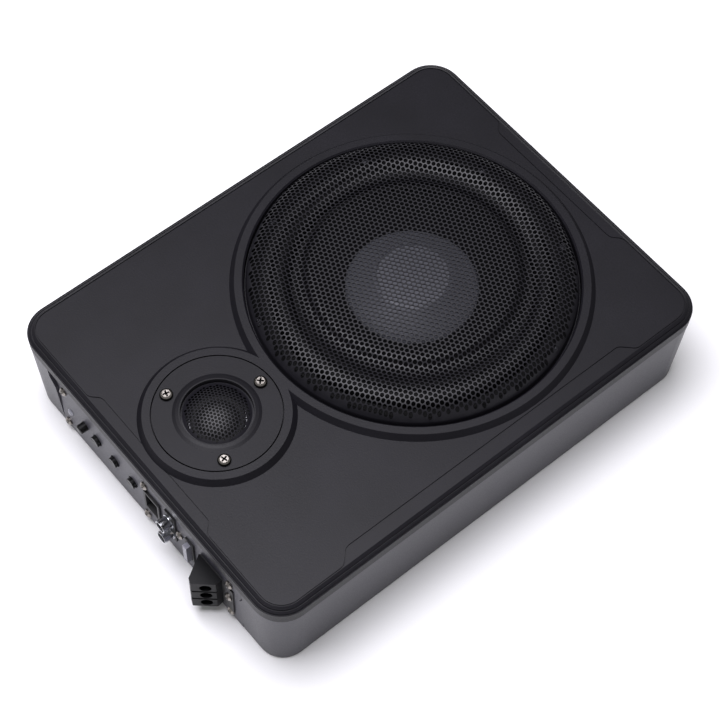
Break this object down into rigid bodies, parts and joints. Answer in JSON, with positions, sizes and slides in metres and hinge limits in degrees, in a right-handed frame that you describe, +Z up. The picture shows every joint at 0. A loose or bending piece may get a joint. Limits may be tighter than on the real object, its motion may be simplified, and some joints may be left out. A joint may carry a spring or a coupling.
{
  "type": "powered car subwoofer",
  "caption": "Slim under-seat car bass box with a perforated dome grille, a small tweeter and a control panel with jacks and a cable boot on one end.",
  "frame": {"origin": "centre of the underside of the case, on the plane that the rubber pads stand on", "axes": "+Z up, X along the case with the control panel on the -X end, +Y away from the side nearest the viewer when the panel is on the left"},
  "size_m": [0.343, 0.251, 0.0854],
  "materials": {
    "case_paint": "satin grey paint",
    "cover_paint": "dark paint with fine orange peel",
    "seal_rubber": "matte",
    "foot_rubber": "matte",
    "bolt_steel": "blackened",
    "grille_paint": "satin, perforated",
    "basket_paint": "satin",
    "surround_rubber": "matte",
    "cone_paper": "fibrous",
    "cap_metal": "bright",
    "former_film": "film",
    "copper": "enamelled",
    "spider_cloth": "woven",
    "plated_steel": "plated",
    "ferrite": "sintered",
    "terminal_board": "laminate",
    "faceplate_metal": "turned",
    "dome_cloth": "coated",
    "screw_chrome": "polished",
    "panel_paint": "satin grey paint",
    "led_lens": "frosted",
    "control_plastic": "satin",
    "switch_plastic": "moulded",
    "pot_body": "moulded",
    "black_nylon": "moulded",
    "contact_brass": "plated",
    "jack_chrome": "polished",
    "insulator": "moulded",
    "fuse_plastic": "translucent",
    "boot_rubber": "matte",
    "board_laminate": "solder mask",
    "standoff_brass": "machined",
    "board_screw_steel": "plated",
    "sink_aluminium": "extruded",
    "chip_epoxy": "moulded",
    "can_sleeve": "sleeved",
    "wire_jacket": "jacketed"
  },
  "bodies": {
    "case": {"base_housing": "case_paint", "top_cover": "cover_paint", "cover_seal": "seal_rubber", "grille_gasket": "seal_rubber", "rubber_feet": "foot_rubber", "cover_screws": "bolt_steel", "woofer_screws": "bolt_steel", "woofer_grille": "grille_paint", "tweeter_mesh": "grille_paint", "woofer_basket": "basket_paint", "toroid_choke": "copper", "woofer_top_plate": "plated_steel", "woofer_yoke": "plated_steel", "tweeter_top_plate": "plated_steel", "tweeter_yoke": "plated_steel", "woofer_magnet": "ferrite", "tweeter_magnet": "ferrite", "woofer_terminals": "terminal_board", "tweeter_faceplate": "faceplate_metal", "tweeter_screws": "screw_chrome", "panel_screws": "screw_chrome", "rca_screw": "screw_chrome", "terminal_clamps": "screw_chrome", "boot_screw": "screw_chrome", "control_panel": "panel_paint", "power_led": "led_lens", "phase_switch": "switch_plastic", "potentiometers": "pot_body", "input_socket": "black_nylon", "rca_housing": "black_nylon", "fuse_holder": "black_nylon", "terminal_block": "black_nylon", "socket_pins": "contact_brass", "rca_contacts": "contact_brass", "rca_shells": "jack_chrome", "rca_insulators": "insulator", "blade_fuse": "fuse_plastic", "terminal_boot": "boot_rubber", "amp_board": "board_laminate", "board_standoffs": "standoff_brass", "board_screws": "board_screw_steel", "heat_sink": "sink_aluminium", "power_transistors": "chip_epoxy", "capacitors": "can_sleeve", "speaker_wires": "wire_jacket"},
    "cone_assembly": {"woofer_cone": "cone_paper", "dust_cap": "cap_metal", "coil_former": "former_film", "coil_winding": "copper", "woofer_surround": "surround_rubber", "woofer_spider": "spider_cloth", "tinsel_leads": "copper"},
    "tweeter_diaphragm": {"tweeter_dome": "dome_cloth", "tweeter_coil": "copper"},
    "level_control": {"level_knob": "control_plastic"},
    "crossover_control": {"crossover_knob": "control_plastic"},
    "boost_control": {"boost_knob": "control_plastic"},
    "phase_control": {"phase_button": "control_plastic"}
  },
  "joints": [
    {"name": "woofer_travel", "type": "slide", "parent": "case", "child": "cone_assembly", "axis": [0, 0, 1], "range_m": [-0.0045, 0.0045], "stiffness_N_per_m": 3500, "deforming": ["woofer_surround", "woofer_spider", "tinsel_leads"]},
    {"name": "tweeter_travel", "type": "slide", "parent": "case", "child": "tweeter_diaphragm", "axis": [0, 0, 1], "range_m": [-0.0003, 0.0003], "stiffness_N_per_m": 1500},
    {"name": "level_turn", "type": "hinge", "parent": "case", "child": "level_control", "pos_m": [-0.1616, 0.0517, 0.028], "axis": [-1, 0, 0], "range_deg": [-150, 150]},
    {"name": "crossover_turn", "type": "hinge", "parent": "case", "child": "crossover_control", "pos_m": [-0.1616, 0.0337, 0.028], "axis": [-1, 0, 0], "range_deg": [-150, 150]},
    {"name": "boost_turn", "type": "hinge", "parent": "case", "child": "boost_control", "pos_m": [-0.1616, 0.0157, 0.028], "axis": [-1, 0, 0], "range_deg": [-150, 150]},
    {"name": "phase_press", "type": "slide", "parent": "case", "child": "phase_control", "axis": [1, 0, 0], "range_m": [0, 0.0018], "stiffness_N_per_m": 400, "springref_m": -0.0005}
  ]
}
